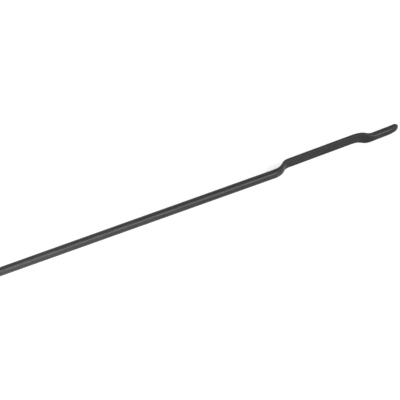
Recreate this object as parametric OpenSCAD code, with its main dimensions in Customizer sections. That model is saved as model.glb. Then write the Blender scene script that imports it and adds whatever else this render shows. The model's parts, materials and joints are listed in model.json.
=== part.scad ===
// Engine oil dipstick: a formed wire with a gauge blade, a stop collar and a rubber plug.
// The wire runs along X with its tip at +X. The finger eye and both joggles lie in the level
// plane, and the part lies at rest on the collar's flat and on the gauge end.
// The origin is under the middle of the part, at the height of what it lies on. Millimetres.

/* [Wire] */
// Diameter of the steel wire
wire_d = 3.5; // [3:0.1:4.5]
// Straight run from the stop seat to the upper joggle
reach = 230; // [120:5:500]
// Straight run from the collar's hub to the finger eye
grip_len = 12; // [8:1:60]

/* [Finger eye] */
// Clear width inside the eye
eye_hole_d = 20; // [16:1:30]
// Centreline radius of the bend that leads into the eye
eye_bend_r = 5; // [4:0.5:8]
// Space between the wire's cut end and the shank
tail_gap = 0.8; // [0.4:0.1:2]

/* [Gauge blade] */
// Length of the blade between the full mark and the low mark
blade_len = 30.8; // [20:0.1:60]
// Thickness of the blade where the wire is pressed flat
blade_t = 2; // [1.4:0.1:2.8]
// Width of the blade
blade_w = 3.8; // [3.6:0.1:5]
// Angle by which the blade leans off the line of the shank
blade_lean = 1; // [0:0.5:3]

/* [Upper joggle, full mark] */
// Slope of the ramp
upper_slope = 39; // [25:1:45]
// Straight part of the ramp
upper_ramp = 1; // [0.5:0.1:5]
// Bend radius on the shank's side
upper_in_r = 8; // [3:0.5:12]
// Bend radius on the blade's side
upper_out_r = 4.8; // [0.8:0.1:6]

/* [Lower joggle, low mark] */
// Slope of the ramp
lower_slope = 37; // [25:1:45]
// Straight part of the ramp
lower_ramp = 1; // [0.5:0.1:5]
// Bend radius on the blade's side
lower_in_r = 6.2; // [1:0.1:8]
// Bend radius on the tip's side
lower_out_r = 5; // [1:0.1:7]
// Extra width where the ramp is squeezed between the dies
squeeze_w = 1; // [0:0.1:1.5]
// Thickness lost where the ramp is squeezed
squeeze_t = 0.3; // [0:0.05:0.6]

/* [Tip] */
// Length of the tip past the lower joggle
tip_len = 12.6; // [10:0.1:25]
// Diameter of the tip, which the dies leave a little under the wire's
tip_d = 3.2; // [2.8:0.1:4]
// Angle by which the tip leans off the line of the blade
tip_lean = 1; // [0:0.5:3]
// Length of the rounded nose
nose_len = 2.1; // [1:0.1:3]
// Depth of the bevel on the nose
bevel_depth = 1.4; // [0.5:0.1:1.6]
// Length of the bevel
bevel_len = 6; // [4:0.5:9]

/* [Stop collar] */
// Thickness of the flange
flange_t = 3; // [2:0.5:5]
// Width of the seat ring on the flange
seat_w = 2.8; // [2:0.1:5]
// How far each flat of the flange stands out past the seat ring's inner edge
flat_step = 0.5; // [0.3:0.1:1]
// Wall of the hub that is crimped on the wire
hub_wall = 2.2; // [1.5:0.1:4]
// Length of the hub
hub_len = 7; // [4:0.5:12]
// Depth of the two crimps pressed into the hub
crimp_depth = 0.8; // [0.3:0.1:1.2]
// Chamfer on the edges of the flange and the hub
collar_edge = 0.4; // [0.2:0.1:0.6]
// Depth of the recess in the flange that holds the plug's root
recess_depth = 0.8; // [0.4:0.1:1.2]
// Room all round the plug in that recess, into which the squeezed rubber swells
swell_room = 0.2; // [0.2:0.05:0.5]
// Room left all round the wire in the collar and the plug
fit_room = 0.05; // [0.02:0.01:0.1]

/* [Rubber plug] */
// Diameter of the plug, which is the bore of the tube that it seals
plug_d = 12; // [8:0.5:16]
// Length of the plug below the stop seat
plug_len = 14; // [8:1:25]
// Lead-in chamfer at the plug's end
plug_lead = 1.5; // [0.5:0.1:2.5]
// How much slimmer the plug's root is than the plug, all round
root_step = 0.3; // [0.2:0.05:0.6]

/* [Hidden] */
$fn = 96;

// Corners round the wire where it is formed
RING_SIDES = 32;
// Longest step between two rings along the blade, and where the section changes
BLADE_STEP = 5;
FORM_STEP = 0.7;
// Longest turn between two rings on a bend
BEND_STEP = 10;
// Rings on the rounded nose, and the turn of its quarter ellipse at which it is cut square
NOSE_RINGS = 7;
NOSE_TURN = 82;
// Thickness left at the end of the nose, as a share of the thickness before it
NOSE_EDGE = 0.35;
// How far the formed end and the lead-in bend reach into what they join, and how much
// slimmer than the wire they are there
JOIN_LAP = 1;
BEND_LAP = 0.25;
JOIN_STEP = 0.04;
// Straight run before the first bend over which the wire already flattens
FLATTEN_LEAD = 0.5;
// Length over which the round wire turns into the blade, and the blade into the tip
FLATTEN_LEN = 2.5;
RECOVER_LEN = 5;
// End stretches of the blade where the pressing fades in and out
BLADE_END = 5;
// Squareness of a section: 2 is an ellipse, more is squarer
ROUND = 2;
BLADE_SQUARE = 3;
TIP_SQUARE = 2.2;
// Reach of the squeeze to each side of the ramp's middle, as a share of the ramp
SQUEEZE_REACH = 0.38;
// Radius of the crimping jaws, as a share of the hub's length
JAW_SHARE = 0.45;
// Cut that passes right through a piece
CLEAR = 1;

// Finger eye: centreline radius, turn and reach of the bend that leads in, and the turn
// that the wire's end stops short by
eye_r = (eye_hole_d + wire_d) / 2;
lead_turn = acos(eye_bend_r / (eye_bend_r + eye_r));
lead_reach = (eye_bend_r + eye_r) * sin(lead_turn);
tail_turn = asin((wire_d / 2 + tail_gap) / (eye_r + wire_d / 2));

// Collar, and what fits on the wire
recess_d = plug_d + 2 * swell_room;
flange_d = recess_d + 2 * seat_w;
flange_flat = recess_d + 2 * flat_step;
hub_d = wire_d + 2 * hub_wall;
bore_d = wire_d + 2 * fit_room;

// Places along the wire, from the stop seat at 0
neck_x = -flange_t - hub_len - grip_len;
eye_x = neck_x - lead_reach;
form_x = reach - FLATTEN_LEAD - JOIN_LAP;

// Pieces of the formed end, in order: [length, turn in degrees]
function straight(length) = [length, 0];
function bend(r, turn) = [r * abs(turn) * PI / 180, turn];
FORMED = [
    straight(JOIN_LAP + FLATTEN_LEAD),
    bend(upper_in_r, upper_slope),
    straight(upper_ramp),
    bend(upper_out_r, blade_lean - upper_slope),
    straight(BLADE_END),
    straight(blade_len - 2 * BLADE_END),
    straight(BLADE_END),
    bend(lower_in_r, -lower_slope),
    straight(lower_ramp),
    bend(lower_out_r, lower_slope + tip_lean),
    straight(tip_len - nose_len),
    straight(nose_len)
];
BLADE_MIDDLE = 5;
LOWER_RAMP = 8;
NOSE = 11;

// Distance along the wire at which piece n of the formed end starts
function start_of(n) = n == 0 ? 0 : start_of(n - 1) + FORMED[n - 1][0];
ramp_s = start_of(LOWER_RAMP) + lower_ramp / 2;
nose_s = start_of(NOSE);
end_s = nose_s + nose_len;

// Share of the way from a to b, held between 0 and 1, and the same with eased ends
function share(s, a, b) = max(0, min(1, (s - a) / (b - a)));
function eased(s, a, b) = let (u = share(s, a, b)) u * u * (3 - 2 * u);
function mix(a, b, u) = a + (b - a) * u;

// How far the section at s has gone from wire to blade, and from blade to tip
function blade_share(s) = eased(s, JOIN_LAP, JOIN_LAP + FLATTEN_LEN);
function tip_share(s) = eased(s, ramp_s, ramp_s + RECOVER_LEN);
function along(s, wire, blade, tip) = mix(mix(wire, blade, blade_share(s)), tip, tip_share(s));

// Squeeze of the lower ramp, depth of the bevel, and rounding of the nose
function squeeze(s) = exp(-pow((s - ramp_s) / (SQUEEZE_REACH * (lower_ramp + lower_out_r)), 2));
function bevel(s) = bevel_depth * pow(share(s, end_s - bevel_len, end_s), 2);
function nose(s) = sqrt(1 - pow(share(s, nose_s, end_s), 2));

// Section at s: width up and down, thickness across, and squareness
function width(s) =
    nose(s) * (along(s, wire_d - JOIN_STEP, blade_w, tip_d) + squeeze_w * squeeze(s));
function thickness(s) =
    mix(NOSE_EDGE, 1, nose(s))
    * (along(s, wire_d - JOIN_STEP, blade_t, tip_d) - squeeze_t * squeeze(s) - bevel(s));
function squareness(s) = along(s, ROUND, BLADE_SQUARE, TIP_SQUARE);

// A station is [x, y, heading, s]: the one that lies a length and a turn further on
function moved(p, length, turn) =
    let (arc = abs(turn) * PI / 180)
    let (chord = turn == 0 ? length : length * sin(abs(turn) / 2) * 2 / arc)
    [
        p.x + chord * cos(p[2] + turn / 2),
        p.y + chord * sin(p[2] + turn / 2),
        p[2] + turn,
        p[3] + length
    ];

// Shares of piece n at which its stations lie, without its start
function shares(n) =
    let (step = n == BLADE_MIDDLE ? BLADE_STEP : FORM_STEP)
    let (count = max(ceil(FORMED[n][0] / step), ceil(abs(FORMED[n][1]) / BEND_STEP)))
    n == NOSE
        ? [for (i = [1:NOSE_RINGS]) sin(i * NOSE_TURN / NOSE_RINGS)]
        : [for (i = [1:count]) i / count];

// All stations from piece n on, which starts at p
function stations(n, p) = n == len(FORMED) ? [] : concat(
    [for (u = shares(n)) moved(p, u * FORMED[n][0], u * FORMED[n][1])],
    stations(n + 1, moved(p, FORMED[n][0], FORMED[n][1]))
);
START = [form_x, 0, 0, 0];
route = concat([START], stations(0, START));

// Ring of points round station p. Every ring stands square to the shank, as the dies press it
function ring(p) =
    let (s = p[3], power = 2 / squareness(s))
    [
        for (i = [0:RING_SIDES - 1])
        let (c = cos(i * 360 / RING_SIDES), d = sin(i * 360 / RING_SIDES))
        [
            p.x,
            p.y + bevel(s) / 2 + thickness(s) / 2 * sign(c) * pow(abs(c), power),
            width(s) / 2 * sign(d) * pow(abs(d), power)
        ]
    ];

// Rest: the part tips until the edge of the flange's flat, which lies a chamfer behind the stop
// seat, and the lowest ring both touch the surface
tip_x = route[len(route) - 1].x;
lay_turn = min([for (p = route) atan((flange_flat - width(p[3])) / 2 / (p.x + collar_edge))]);
lay_height = flange_flat / 2 * cos(lay_turn) - collar_edge * sin(lay_turn);
middle_x = ((eye_x - eye_r + tip_x) * cos(lay_turn) - wire_d / 2) / 2;

// Sets down what is drawn along the X axis, with the stop seat at 0
module laid() {
    translate([-middle_x, 0, lay_height]) rotate([0, lay_turn, 0]) children();
}

// Turns what is drawn along Z so that it runs along X
module along_wire(x) {
    translate([x, 0, 0]) rotate([0, 90, 0]) children();
}

// Wire bent round the Z axis, starting at one place on the circle
module wire_arc(r, start, turn, d) {
    rotate(start) rotate_extrude(angle = turn) translate([r, 0]) circle(d = d);
}

module formed_end() {
    n = len(route);
    last = (n - 1) * RING_SIDES;
    sides = [
        for (k = [0:n - 2], i = [0:RING_SIDES - 1])
        let (a = k * RING_SIDES, j = (i + 1) % RING_SIDES)
        [a + i, a + RING_SIDES + i, a + RING_SIDES + j, a + j]
    ];
    near_cap = [for (i = [0:RING_SIDES - 1]) i];
    far_cap = [for (i = [RING_SIDES - 1:-1:0]) last + i];
    polyhedron([for (p = route) each ring(p)], concat([near_cap, far_cap], sides));
}

module finger_eye() {
    lap_turn = BEND_LAP / eye_bend_r * 180 / PI;
    translate([neck_x, eye_bend_r])
        wire_arc(eye_bend_r, 270 - lead_turn - lap_turn, lead_turn + 2 * lap_turn, wire_d - JOIN_STEP);
    translate([eye_x, 0])
        wire_arc(eye_r, 90 - lead_turn, 270 + lead_turn - tail_turn, wire_d);
}

module gauge_rod() {
    color("#3d3d3e") laid() {
        along_wire(neck_x) cylinder(d = wire_d, h = form_x + JOIN_LAP - neck_x);
        finger_eye();
        formed_end();
    }
}

// Half section of the collar before its flats and crimps, as [radius, place along the wire]
module collar_section() {
    hub_end = -flange_t - hub_len;
    polygon([
        [bore_d / 2, hub_end],
        [hub_d / 2 - collar_edge, hub_end],
        [hub_d / 2, hub_end + collar_edge],
        [hub_d / 2, -flange_t],
        [flange_d / 2 - collar_edge, -flange_t],
        [flange_d / 2, -flange_t + collar_edge],
        [flange_d / 2, -collar_edge],
        [flange_d / 2 - collar_edge, 0],
        [recess_d / 2, 0],
        [recess_d / 2, -recess_depth],
        [bore_d / 2, -recess_depth]
    ]);
}

module crimp_jaws() {
    jaw_r = JAW_SHARE * hub_len;
    for (side = [-1, 1])
        translate([-flange_t - hub_len / 2, side * (hub_d / 2 - crimp_depth + jaw_r), -hub_d])
            cylinder(r = jaw_r, h = 2 * hub_d);
}

// What the flats leave of the collar: a long bar whose edges are chamfered at the flange's faces
module flats() {
    half = flange_flat / 2;
    back = -flange_t - hub_len - CLEAR;
    upper = [
        [back, half - collar_edge],
        [-flange_t, half - collar_edge],
        [-flange_t + collar_edge, half],
        [-collar_edge, half],
        [0, half - collar_edge]
    ];
    lower = [for (i = [len(upper) - 1:-1:0]) [upper[i].x, -upper[i].y]];
    rotate([90, 0, 0]) linear_extrude(height = flange_d + 2 * CLEAR, center = true)
        polygon(concat(upper, lower));
}

module stop_collar() {
    color("#4a4b4d") laid() difference() {
        intersection() {
            along_wire(0) rotate_extrude() collar_section();
            flats();
        }
        crimp_jaws();
    }
}

module seal_plug() {
    color("#1c1c1d") laid() along_wire(0) rotate_extrude() polygon([
        [bore_d / 2, -recess_depth],
        [plug_d / 2 - root_step, -recess_depth],
        [plug_d / 2 - root_step, 0],
        [plug_d / 2, 0],
        [plug_d / 2, plug_len - plug_lead],
        [plug_d / 2 - plug_lead / 2, plug_len],
        [bore_d / 2, plug_len]
    ]);
}

gauge_rod();
stop_collar();
seal_plug();
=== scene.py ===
"""Looks of the engine oil dipstick: one formed wire, its stop collar and its rubber plug.

Sizes are in millimetres, along the wire from the stop seat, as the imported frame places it.
"""

import json
import math

import bpy
from mathutils import Matrix, Vector


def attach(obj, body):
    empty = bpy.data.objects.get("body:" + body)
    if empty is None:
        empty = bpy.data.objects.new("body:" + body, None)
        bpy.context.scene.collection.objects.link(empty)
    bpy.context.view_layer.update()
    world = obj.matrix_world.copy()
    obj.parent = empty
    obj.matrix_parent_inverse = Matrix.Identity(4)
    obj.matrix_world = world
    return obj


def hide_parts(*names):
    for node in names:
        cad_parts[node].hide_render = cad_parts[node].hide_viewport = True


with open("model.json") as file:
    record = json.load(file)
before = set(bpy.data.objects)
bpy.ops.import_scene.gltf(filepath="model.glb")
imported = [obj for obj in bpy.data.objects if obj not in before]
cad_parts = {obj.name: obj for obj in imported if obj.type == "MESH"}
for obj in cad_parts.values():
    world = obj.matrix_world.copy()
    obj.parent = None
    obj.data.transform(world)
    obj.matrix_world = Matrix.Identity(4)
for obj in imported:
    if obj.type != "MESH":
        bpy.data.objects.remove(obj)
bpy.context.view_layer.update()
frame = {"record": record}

MM = 0.001

# Wire and finger eye
WIRE_D = 3.5
GRIP_LEN = 12
EYE_HOLE_D = 20
EYE_BEND_R = 5
TAIL_GAP = 0.8
REACH = 230
CUT_EDGE = 0.3

# Gauge blade
BLADE_LEN = 30.8
BLADE_T = 2
BLADE_W = 3.8
BLADE_LEAN = 1

# Upper and lower joggle
UPPER_SLOPE = 39
UPPER_RAMP = 1
UPPER_IN_R = 8
UPPER_OUT_R = 4.8
LOWER_SLOPE = 37
LOWER_RAMP = 1
LOWER_IN_R = 6.2
LOWER_OUT_R = 5
SQUEEZE_W = 1
SQUEEZE_T = 0.3
SQUEEZE_REACH = 0.38

# Tip
TIP_LEN = 12.6
TIP_D = 3.2
TIP_LEAN = 1
NOSE_LEN = 2.1
NOSE_EDGE = 0.35
BEVEL_DEPTH = 1.4
BEVEL_LEN = 6

# How the section changes along the formed end
FORM_LEAD = 1.5
FLATTEN_START = 1
FLATTEN_LEN = 2.5
RECOVER_LEN = 5

# Power of the section's outline: 2 is round, and more is squarer
ROUND = 2
BLADE_SQUARE = 3
TIP_SQUARE = 2.2

# Length over which the blade's dull finish fades out past each of its ends
PRESS_FADE = 3

# Stop collar
FLANGE_T = 3
SEAT_W = 2.8
FLAT_STEP = 0.5
HUB_WALL = 2.2
HUB_LEN = 7
CRIMP_DEPTH = 0.8
JAW_SHARE = 0.45
COLLAR_EDGE = 0.4
RECESS_DEPTH = 0.8
SWELL_ROOM = 0.2
FIT_ROOM = 0.05

# Rubber plug
PLUG_LEAD = 1.5
ROOT_STEP = 0.3

# Rounding of the edges that the solids leave sharp. The plug's outer edges are the softer ones.
FINE_ROUND = 0.12
SOFT_ROUND = 0.35

# Fineness of the meshes
WIRE_SIDES = 64
TURNED_SIDES = 144
CORNER_STEPS = 5
EYE_STEP = 0.5
SHANK_STEP = 4
FORM_STEP = 0.25
NOSE_RINGS = 16
NOSE_TURN = 86
SHARP_TURN = 40

# Least divisor for the radius where a flat or a crimp runs edge on
NEAR_ZERO = 1e-6

# Finishes. Greys and roughnesses are ranges that a noise runs through. Depths are those of bumps,
# in millimetres. A grained noise has its stretch on each axis of the piece's grain, the first of
# which runs along the wire, then its scale a millimetre and its detail. The rubber's noises have
# their scale a metre and their detail.
WIRE_GREY = (0.028, 0.041)
WIRE_ROUGH = (0.31, 0.43)
PRESSED_ROUGH = (0.58, 0.72)
WIRE_GLOSS = 0.16
WIRE_MOTTLE = ((0.3, 1, 1), 0.9, 4)
DRAW_LINES = ((0.02, 1, 1), 6, 3)
DRAW_LINE_DEPTH = 0.015
TOOTH = ((1, 1, 1), 7, 2)
TOOTH_DEPTH = 0.02

COLLAR_GREY = (0.038, 0.054)
COLLAR_ROUGH = (0.30, 0.50)
COLLAR_GLOSS = 0.25
COLLAR_MOTTLE = ((1, 1, 1), 0.8, 4)
TURNING_LINES = ((6, 6, 1), 1, 4)
TURNING_LINE_DEPTH = 0.03

RUBBER_GREY = (0.018, 0.026)
RUBBER_ROUGH = (0.68, 0.82)
RUBBER_GLOSS = 0.3
RUBBER_CLOUD = (300, 4)
RUBBER_PORES = (4000, 2)
PORE_DEPTH = 0.05

# Values of a noise that count as its lowest and highest
NOISE_LOW = 0.3
NOISE_HIGH = 0.7

# Camera: the photograph's direction and scale, and the point in the middle of the frame
AZIMUTH = -32.73
ELEVATION = 35.34
FRAME_W = 157.9
DISTANCE = 6000
SENSOR_W = 36
MIDDLE = (77.15, 2.2, 2)

# Lamps, as azimuth and elevation seen from the part, strength, and width in degrees. The key
# lamp mirrors the camera, so that its highlight runs along the wire. The front lamp lifts the side
# that faces the camera, and the back lamp lights the far side for views from there.
KEY_LAMP = (-AZIMUTH, ELEVATION, 2.6, 24)
FRONT_LAMP = (-35, 8, 0.1, 60)
BACK_LAMP = (-130, 20, 1.0, 60)

# Soft box beside the shank, which brightens it towards the handle: its place, the place it faces,
# its side in millimetres and its power in watts
SIDE_BOX = ((-100, -140, 25), (-40, 0, 6), 120, 0.65)

# Floor. Its glow is added only where it is seen, so that it shows white.
FLOOR_SIZE = 8000
FLOOR_ALBEDO = 0.4
FLOOR_GLOW = 0.75

# Sky: the strength of its even light. Where it is seen, it is white below one elevation in degrees,
# and dims from there to its top strength at another.
SKY_LIGHT = 0.15
SKY_TOP = 0.2
WHITE_BELOW = 25
TOP_ABOVE = 60


def mount(name):
    """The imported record's mount of that name."""
    return next(m for m in frame["record"]["mounts"] if m["name"] == name)


def laid_matrix():
    """From the wire's own axes, in millimetres from the stop seat, to the row frame."""
    seat = mount("tube_seat")
    x = Vector(seat["axis"]).normalized()
    y = Vector((0, 1, 0))
    z = x.cross(y)
    place = Vector((seat["pos_m"][0], 0, seat["pos_m"][2]))
    turn = Matrix((x, y, z)).transposed().to_4x4()
    return Matrix.Translation(place) @ turn @ Matrix.Scale(MM, 4)


LAID = laid_matrix()
PLUG_R = mount("tube_plug")["dims"]["r_mm"]
PLUG_WALL = mount("tube_plug")["dims"]["length_mm"]
PLUG_END = PLUG_WALL + PLUG_LEAD
RECESS_R = PLUG_R + SWELL_ROOM
FLANGE_R = RECESS_R + SEAT_W
FLAT_HALF = RECESS_R + FLAT_STEP
HUB_R = WIRE_D / 2 + HUB_WALL
HUB_END = -FLANGE_T - HUB_LEN
BORE_R = WIRE_D / 2 + FIT_ROOM

EYE_R = (EYE_HOLE_D + WIRE_D) / 2
LEAD_TURN = math.degrees(math.acos(EYE_BEND_R / (EYE_BEND_R + EYE_R)))
TAIL_TURN = math.degrees(math.asin((WIRE_D / 2 + TAIL_GAP) / (EYE_R + WIRE_D / 2)))
NECK_X = HUB_END - GRIP_LEN
EYE_X = NECK_X - (EYE_BEND_R + EYE_R) * math.sin(math.radians(LEAD_TURN))
FORM_X = REACH - FORM_LEAD


def share(s, a, b):
    """Share of the way from a to b, held between 0 and 1."""
    return max(0, min(1, (s - a) / (b - a)))


def eased(s, a, b):
    u = share(s, a, b)
    return u * u * (3 - 2 * u)


def mix(a, b, u):
    return a + (b - a) * u


def bend(r, turn, step):
    """A bent piece of the wire: its length, its turn in degrees and the step between rings."""
    return (r * math.radians(abs(turn)), turn, step)


def straight(length, step):
    return (length, 0, step)


HANDLE = [
    bend(EYE_R, -(270 + LEAD_TURN - TAIL_TURN), EYE_STEP),
    bend(EYE_BEND_R, LEAD_TURN, EYE_STEP),
    straight(FORM_X - NECK_X, SHANK_STEP),
]
FORMED = [
    straight(FORM_LEAD, FORM_STEP),
    bend(UPPER_IN_R, UPPER_SLOPE, FORM_STEP),
    straight(UPPER_RAMP, FORM_STEP),
    bend(UPPER_OUT_R, BLADE_LEAN - UPPER_SLOPE, FORM_STEP),
    straight(BLADE_LEN, FORM_STEP),
    bend(LOWER_IN_R, -LOWER_SLOPE, FORM_STEP),
    straight(LOWER_RAMP, FORM_STEP),
    bend(LOWER_OUT_R, LOWER_SLOPE + TIP_LEAN, FORM_STEP),
    straight(TIP_LEN - NOSE_LEN, FORM_STEP),
]
FORM_S = sum(piece[0] for piece in HANDLE)
BLADE_S = FORM_S + sum(piece[0] for piece in FORMED[:4])
RAMP_S = FORM_S + sum(piece[0] for piece in FORMED[:6]) + LOWER_RAMP / 2
NOSE_S = FORM_S + sum(piece[0] for piece in FORMED)
END_S = NOSE_S + NOSE_LEN


def along(s, wire, blade, tip):
    """A size that changes from the round wire to the blade, and from the blade to the tip."""
    flat = eased(s, FORM_S + FLATTEN_START, FORM_S + FLATTEN_START + FLATTEN_LEN)
    return mix(mix(wire, blade, flat), tip, eased(s, RAMP_S, RAMP_S + RECOVER_LEN))


def pressed(s):
    """How far the dies have dulled the surface: 1 along the blade and 0 away from it."""
    end = BLADE_S + BLADE_LEN
    return eased(s, BLADE_S - PRESS_FADE, BLADE_S) * (1 - eased(s, end, end + PRESS_FADE))


def squeeze(s):
    reach = SQUEEZE_REACH * (LOWER_RAMP + LOWER_OUT_R)
    return math.exp(-(((s - RAMP_S) / reach) ** 2))


def bevel(s):
    return BEVEL_DEPTH * share(s, END_S - BEVEL_LEN, END_S) ** 2


def nose(s):
    return math.sqrt(1 - share(s, NOSE_S, END_S) ** 2)


def cut_edge(s):
    """What the rounded edge of the eye's cut end takes off the wire's diameter."""
    short = 1 - share(s, 0, CUT_EDGE)
    return 2 * CUT_EDGE * (1 - math.sqrt(1 - short * short))


def width(s):
    full = along(s, WIRE_D, BLADE_W, TIP_D) + SQUEEZE_W * squeeze(s)
    return nose(s) * full - cut_edge(s)


def thickness(s):
    full = along(s, WIRE_D, BLADE_T, TIP_D) - SQUEEZE_T * squeeze(s) - bevel(s)
    return mix(NOSE_EDGE, 1, nose(s)) * full - cut_edge(s)


def moved(station, length, turn):
    """The station (x, y, heading, s) that lies a length and a turn further on."""
    x, y, heading, s = station
    half = math.radians(abs(turn)) / 2
    chord = length * math.sin(half) / half if half else length
    way = math.radians(heading + turn / 2)
    return (x + chord * math.cos(way), y + chord * math.sin(way), heading + turn, s + length)


def stations():
    """Stations of the whole wire, from the cut end of the eye to the nose."""
    tail = math.radians(TAIL_TURN)
    start = (EYE_X + EYE_R * math.cos(tail), -EYE_R * math.sin(tail), -90 - TAIL_TURN, 0)
    route = [start]
    eye_length, eye_turn, eye_step = HANDLE[0]
    for i in range(1, CORNER_STEPS):
        inset = CUT_EDGE * (1 - math.cos(math.radians(i * 90 / CORNER_STEPS)))
        route.append(moved(start, inset, eye_turn * inset / eye_length))
    for length, turn, step in HANDLE + FORMED:
        count = math.ceil(length / step)
        route += [moved(start, length * i / count, turn * i / count) for i in range(1, count + 1)]
        start = route[-1]
    for i in range(1, NOSE_RINGS + 1):
        reach = NOSE_LEN * math.sin(math.radians(i * NOSE_TURN / NOSE_RINGS))
        route.append(moved(start, reach, 0))
    return route


def signed_power(value, power):
    return math.copysign(abs(value) ** power, value)


def ring_turns(sides):
    """Cosine and sine at each of the places round a ring."""
    turns = [2 * math.pi * i / sides for i in range(sides)]
    return [(math.cos(turn), math.sin(turn)) for turn in turns]


def wire_ring(station):
    """Points round the wire, square to it up to the formed end and square to the shank there."""
    x, y, heading, s = station
    heading = math.radians(heading) if s < FORM_S else 0
    power = 2 / along(s, ROUND, BLADE_SQUARE, TIP_SQUARE)
    ring = []
    for c, d in ring_turns(WIRE_SIDES):
        across = bevel(s) / 2 + thickness(s) / 2 * signed_power(c, power)
        up = width(s) / 2 * signed_power(d, power)
        ring.append((x - across * math.sin(heading), y + across * math.cos(heading), up))
    return ring


def ring_mesh(name, rings, grain, closed):
    """A piece skinned over rings with as many points each. closed joins the last ring to the
    first, and otherwise each end gets a flat cap. grain gives each point's place in millimetres
    along the drawn or turned surface, which the material follows."""
    sides = len(rings[0])
    points = [LAID @ Vector(p) for ring in rings for p in ring]
    faces = []
    for k in range(len(rings) if closed else len(rings) - 1):
        a = k * sides
        b = (k + 1) % len(rings) * sides
        for i in range(sides):
            j = (i + 1) % sides
            faces.append((a + i, a + j, b + j, b + i))
    if not closed:
        faces.append(tuple(reversed(range(sides))))
        faces.append(tuple(range(len(points) - sides, len(points))))
    mesh = bpy.data.meshes.new(name)
    mesh.from_pydata(points, [], faces)
    mesh.shade_smooth()
    mesh.set_sharp_from_angle(angle=math.radians(SHARP_TURN))
    mesh.attributes.new("grain", "FLOAT_VECTOR", "POINT")
    mesh.attributes["grain"].data.foreach_set("vector", [c for p in grain for c in p])
    piece = bpy.data.objects.new(name, mesh)
    bpy.context.scene.collection.objects.link(piece)
    return piece


def make_wire():
    route = stations()
    turns = ring_turns(WIRE_SIDES)
    grain = [(s, WIRE_D / 2 * c, WIRE_D / 2 * d) for x, y, heading, s in route for c, d in turns]
    wire = ring_mesh("dipstick_wire", [wire_ring(station) for station in route], grain, False)
    dulled = [pressed(s) for x, y, heading, s in route for turn in turns]
    wire.data.attributes.new("pressed", "FLOAT", "POINT")
    wire.data.attributes["pressed"].data.foreach_set("value", dulled)
    return wire


def rounded(corners):
    """The closed outline of a section with its corners rounded. A corner is (x, r, rounding)."""
    outline = []
    for k, (x, r, rounding) in enumerate(corners):
        here = Vector((x, r))
        before = Vector(corners[k - 1][:2]) - here
        after = Vector(corners[(k + 1) % len(corners)][:2]) - here
        start = here + before.normalized() * rounding
        end = here + after.normalized() * rounding
        for i in range(CORNER_STEPS + 1):
            u = i / CORNER_STEPS
            outline.append((1 - u) ** 2 * start + 2 * u * (1 - u) * here + u * u * end)
    return outline


def collar_radius(x, r, c, d):
    """The collar's radius where the turned one would be r: less on the flats and in the crimps."""
    jaw_r = JAW_SHARE * HUB_LEN
    from_middle = x + FLANGE_T + HUB_LEN / 2
    if r > HUB_R:
        inset = FLANGE_R - r
        return max(HUB_R, min(FLANGE_R, FLAT_HALF / max(abs(d), NEAR_ZERO)) - inset)
    if r > BORE_R + HUB_WALL / 2 and abs(from_middle) < jaw_r:
        dent = HUB_R - CRIMP_DEPTH + jaw_r - math.sqrt(jaw_r**2 - from_middle**2)
        return min(r, dent / max(abs(c), NEAR_ZERO))
    return r


def turned_piece(name, outline, radius):
    """A piece turned round the wire from its outline. radius(x, r, c, d) is its true radius."""
    turns = ring_turns(TURNED_SIDES)
    rings = []
    for x, r in outline:
        rings.append([(x, radius(x, r, c, d) * c, radius(x, r, c, d) * d) for c, d in turns])
    grain = [(x, r, 0) for x, r in outline for c, d in turns]
    return ring_mesh(name, rings, grain, True)


def make_collar():
    corners = [
        (HUB_END, BORE_R, FINE_ROUND),
        (HUB_END, HUB_R - COLLAR_EDGE, FINE_ROUND),
        (HUB_END + COLLAR_EDGE, HUB_R, FINE_ROUND),
        (-FLANGE_T, HUB_R, FINE_ROUND),
        (-FLANGE_T, FLANGE_R - COLLAR_EDGE, FINE_ROUND),
        (-FLANGE_T + COLLAR_EDGE, FLANGE_R, FINE_ROUND),
        (-COLLAR_EDGE, FLANGE_R, FINE_ROUND),
        (0, FLANGE_R - COLLAR_EDGE, FINE_ROUND),
        (0, RECESS_R, FINE_ROUND),
        (-RECESS_DEPTH, RECESS_R, FINE_ROUND),
        (-RECESS_DEPTH, BORE_R, FINE_ROUND),
    ]
    return turned_piece("stop_collar_metal", rounded(corners), collar_radius)


def make_plug():
    corners = [
        (-RECESS_DEPTH, BORE_R, FINE_ROUND),
        (-RECESS_DEPTH, PLUG_R - ROOT_STEP, FINE_ROUND),
        (0, PLUG_R - ROOT_STEP, FINE_ROUND),
        (0, PLUG_R, FINE_ROUND),
        (PLUG_WALL, PLUG_R, SOFT_ROUND),
        (PLUG_END, PLUG_R - PLUG_LEAD / 2, SOFT_ROUND),
        (PLUG_END, BORE_R, FINE_ROUND),
    ]
    return turned_piece("seal_plug_rubber", rounded(corners), lambda x, r, c, d: r)


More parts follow.
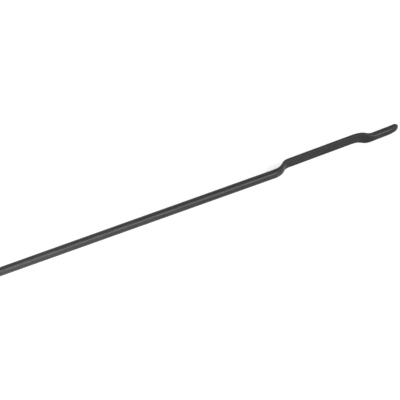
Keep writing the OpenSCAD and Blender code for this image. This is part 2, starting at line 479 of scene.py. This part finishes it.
class Surface:
    """A node material under construction, with one Principled shader."""

    def __init__(self, name):
        self.material = bpy.data.materials.new(name)
        self.material.use_nodes = True
        self.tree = self.material.node_tree
        self.shader = self.tree.nodes["Principled BSDF"]

    def node(self, kind, links=(), **settings):
        """A node with its settings. links pairs an input's name or number with what it gets."""
        made = self.tree.nodes.new(kind)
        for key, value in settings.items():
            setattr(made, key, value)
        for key, value in links:
            self.join(value, made.inputs[key])
        return made

    def join(self, value, socket):
        """Give an input a value, or link it to another node's output."""
        if isinstance(value, bpy.types.NodeSocket):
            self.tree.links.new(value, socket)
        else:
            socket.default_value = value

    def grain(self, stretch):
        """The piece's grain coordinates, in millimetres, scaled by stretch."""
        place = self.node("ShaderNodeAttribute", attribute_name="grain")
        scaled = [("Vector", place.outputs["Vector"]), ("Scale", stretch)]
        return self.node("ShaderNodeMapping", scaled).outputs["Vector"]

    def noise(self, vector, scale, detail):
        links = [("Vector", vector), ("Scale", scale), ("Detail", detail)]
        return self.node("ShaderNodeTexNoise", links).outputs["Fac"]

    def grained_noise(self, stretch, scale, detail):
        return self.noise(self.grain(stretch), scale, detail)

    def between(self, value, low, high):
        """A noise value spread over the range from low to high."""
        links = [("Value", value), ("From Min", NOISE_LOW), ("From Max", NOISE_HIGH)]
        links += [("To Min", low), ("To Max", high)]
        return self.node("ShaderNodeMapRange", links).outputs["Result"]

    def greys(self, value, dark, light):
        """A grey from dark to light, as a noise value goes."""
        links = [("Factor", self.between(value, 0, 1)), (6, grey(dark)), (7, grey(light))]
        return self.node("ShaderNodeMix", links, data_type="RGBA").outputs[2]

    def where_pressed(self, value, pressed_value):
        """One value on the round wire, and another where the dies have pressed it."""
        place = self.node("ShaderNodeAttribute", attribute_name="pressed")
        links = [("Factor", place.outputs["Fac"]), (2, value), (3, pressed_value)]
        return self.node("ShaderNodeMix", links).outputs[0]

    def bump(self, height, depth, under=None):
        """A bump of that depth in millimetres, on top of an earlier one."""
        links = [("Height", height), ("Distance", depth * MM)]
        if under:
            links.append(("Normal", under))
        return self.node("ShaderNodeBump", links).outputs["Normal"]


def grey(level):
    return (level, level, level, 1)


def wire_material():
    """Satin dark coating on drawn wire: soft mottling, faint draw lines and a fine tooth."""
    s = Surface("satin_dark_wire")
    mottle = s.grained_noise(*WIRE_MOTTLE)
    lines = s.grained_noise(*DRAW_LINES)
    tooth = s.grained_noise(*TOOTH)
    s.join(s.greys(mottle, *WIRE_GREY), s.shader.inputs["Base Color"])
    drawn = s.between(lines, *WIRE_ROUGH)
    dull = s.between(tooth, *PRESSED_ROUGH)
    s.join(s.where_pressed(drawn, dull), s.shader.inputs["Roughness"])
    s.join(WIRE_GLOSS, s.shader.inputs["Specular IOR Level"])
    line_bump = s.bump(lines, DRAW_LINE_DEPTH)
    s.join(s.bump(tooth, TOOTH_DEPTH, line_bump), s.shader.inputs["Normal"])
    return s.material


def collar_material():
    """Satin dark coating on turned steel: fine turning lines round the wire."""
    s = Surface("satin_dark_collar")
    mottle = s.grained_noise(*COLLAR_MOTTLE)
    lines = s.grained_noise(*TURNING_LINES)
    s.join(s.greys(mottle, *COLLAR_GREY), s.shader.inputs["Base Color"])
    s.join(s.between(lines, *COLLAR_ROUGH), s.shader.inputs["Roughness"])
    s.join(COLLAR_GLOSS, s.shader.inputs["Specular IOR Level"])
    s.join(s.bump(lines, TURNING_LINE_DEPTH), s.shader.inputs["Normal"])
    return s.material


def plug_material():
    """Matt black rubber with a fine moulded grain."""
    s = Surface("matt_black_rubber")
    place = s.node("ShaderNodeTexCoord").outputs["Object"]
    cloud = s.noise(place, *RUBBER_CLOUD)
    pores = s.noise(place, *RUBBER_PORES)
    s.join(s.greys(cloud, *RUBBER_GREY), s.shader.inputs["Base Color"])
    s.join(s.between(pores, *RUBBER_ROUGH), s.shader.inputs["Roughness"])
    s.join(RUBBER_GLOSS, s.shader.inputs["Specular IOR Level"])
    s.join(s.bump(pores, PORE_DEPTH), s.shader.inputs["Normal"])
    return s.material


def dress(piece, material, node):
    piece.data.materials.append(material)
    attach(piece, "root")
    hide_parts(node)


def towards(azimuth, elevation):
    """Unit vector from the part to a viewer or lamp. From azimuth 0 the view is along +Y."""
    a = math.radians(azimuth)
    e = math.radians(elevation)
    return Vector((math.sin(a) * math.cos(e), -math.cos(a) * math.cos(e), math.sin(e)))


def aim(thing, way):
    """Turn a camera or lamp along a direction, and put it in the scene."""
    thing.rotation_mode = "QUATERNION"
    thing.rotation_quaternion = way.to_track_quat("-Z", "Y")
    bpy.context.scene.collection.objects.link(thing)


def place_camera():
    data = bpy.data.cameras.new("camera")
    data.sensor_width = SENSOR_W
    data.lens = SENSOR_W * DISTANCE / FRAME_W
    data.clip_start = DISTANCE / 2 * MM
    data.clip_end = DISTANCE * 2 * MM
    camera = bpy.data.objects.new("camera", data)
    back = towards(AZIMUTH, ELEVATION)
    camera.location = (Vector(MIDDLE) + back * DISTANCE) * MM
    aim(camera, -back)
    bpy.context.scene.camera = camera


def soft_sun(name, azimuth, elevation, strength, spread):
    """A lamp so far away that it lights the whole part alike. spread is its width in degrees."""
    data = bpy.data.lights.new(name, "SUN")
    data.energy = strength
    data.angle = math.radians(spread)
    lamp = bpy.data.objects.new(name, data)
    aim(lamp, -towards(azimuth, elevation))


def soft_box(name, place, target, side, power):
    """A square lamp near the part, which lights the end beside it a little more."""
    data = bpy.data.lights.new(name, "AREA")
    data.size = side * MM
    data.energy = power
    lamp = bpy.data.objects.new(name, data)
    lamp.location = Vector(place) * MM
    lamp.visible_camera = False
    aim(lamp, Vector(target) - Vector(place))


def seen_directly(tree):
    """1 for rays that show a background: the camera's, and those off metal and through glass."""
    path = tree.nodes.new("ShaderNodeLightPath")
    seen = path.outputs["Is Camera Ray"]
    for name in ("Is Glossy Ray", "Is Transmission Ray"):
        both = tree.nodes.new("ShaderNodeMath")
        both.operation = "MAXIMUM"
        tree.links.new(seen, both.inputs[0])
        tree.links.new(path.outputs[name], both.inputs[1])
        seen = both.outputs[0]
    return seen


def make_floor():
    """A matt white floor that glows just enough to show white, and so keeps a soft shadow."""
    half = FLOOR_SIZE / 2 * MM
    mesh = bpy.data.meshes.new("floor")
    corners = [(-half, -half, 0), (half, -half, 0), (half, half, 0), (-half, half, 0)]
    mesh.from_pydata(corners, [], [(0, 1, 2, 3)])
    material = bpy.data.materials.new("white_floor")
    material.use_nodes = True
    tree = material.node_tree
    shader = tree.nodes["Principled BSDF"]
    shader.inputs["Base Color"].default_value = grey(FLOOR_ALBEDO)
    shader.inputs["Roughness"].default_value = 1
    shader.inputs["Specular IOR Level"].default_value = 0
    shader.inputs["Emission Color"].default_value = grey(1)
    glow = tree.nodes.new("ShaderNodeMath")
    glow.operation = "MULTIPLY"
    glow.inputs[1].default_value = FLOOR_GLOW
    tree.links.new(seen_directly(tree), glow.inputs[0])
    tree.links.new(glow.outputs[0], shader.inputs["Emission Strength"])
    mesh.materials.append(material)
    floor = bpy.data.objects.new("floor", mesh)
    bpy.context.scene.collection.objects.link(floor)


def make_sky():
    """Even light from all round, seen as a white backdrop under a dimmer ceiling."""
    world = bpy.data.worlds.new("studio")
    world.use_nodes = True
    tree = world.node_tree
    way = tree.nodes.new("ShaderNodeTexCoord")
    axes = tree.nodes.new("ShaderNodeSeparateXYZ")
    tree.links.new(way.outputs["Generated"], axes.inputs[0])
    backdrop = tree.nodes.new("ShaderNodeMapRange")
    tree.links.new(axes.outputs["Z"], backdrop.inputs["Value"])
    backdrop.inputs["From Min"].default_value = math.sin(math.radians(WHITE_BELOW))
    backdrop.inputs["From Max"].default_value = math.sin(math.radians(TOP_ABOVE))
    backdrop.inputs["To Min"].default_value = 1
    backdrop.inputs["To Max"].default_value = SKY_TOP
    strength = tree.nodes.new("ShaderNodeMapRange")
    tree.links.new(seen_directly(tree), strength.inputs["Value"])
    strength.inputs["To Min"].default_value = SKY_LIGHT
    tree.links.new(backdrop.outputs["Result"], strength.inputs["To Max"])
    background = tree.nodes["Background"]
    background.inputs["Color"].default_value = grey(1)
    tree.links.new(strength.outputs["Result"], background.inputs["Strength"])
    bpy.context.scene.world = world


def make_studio():
    make_floor()
    make_sky()
    soft_sun("key_lamp", *KEY_LAMP)
    soft_sun("front_lamp", *FRONT_LAMP)
    soft_sun("back_lamp", *BACK_LAMP)
    soft_box("side_box", *SIDE_BOX)
    bpy.context.scene.view_settings.view_transform = "Standard"


place_camera()
make_studio()
dress(make_wire(), wire_material(), "gauge_rod")
dress(make_collar(), collar_material(), "stop_collar")
dress(make_plug(), plug_material(), "seal_plug")
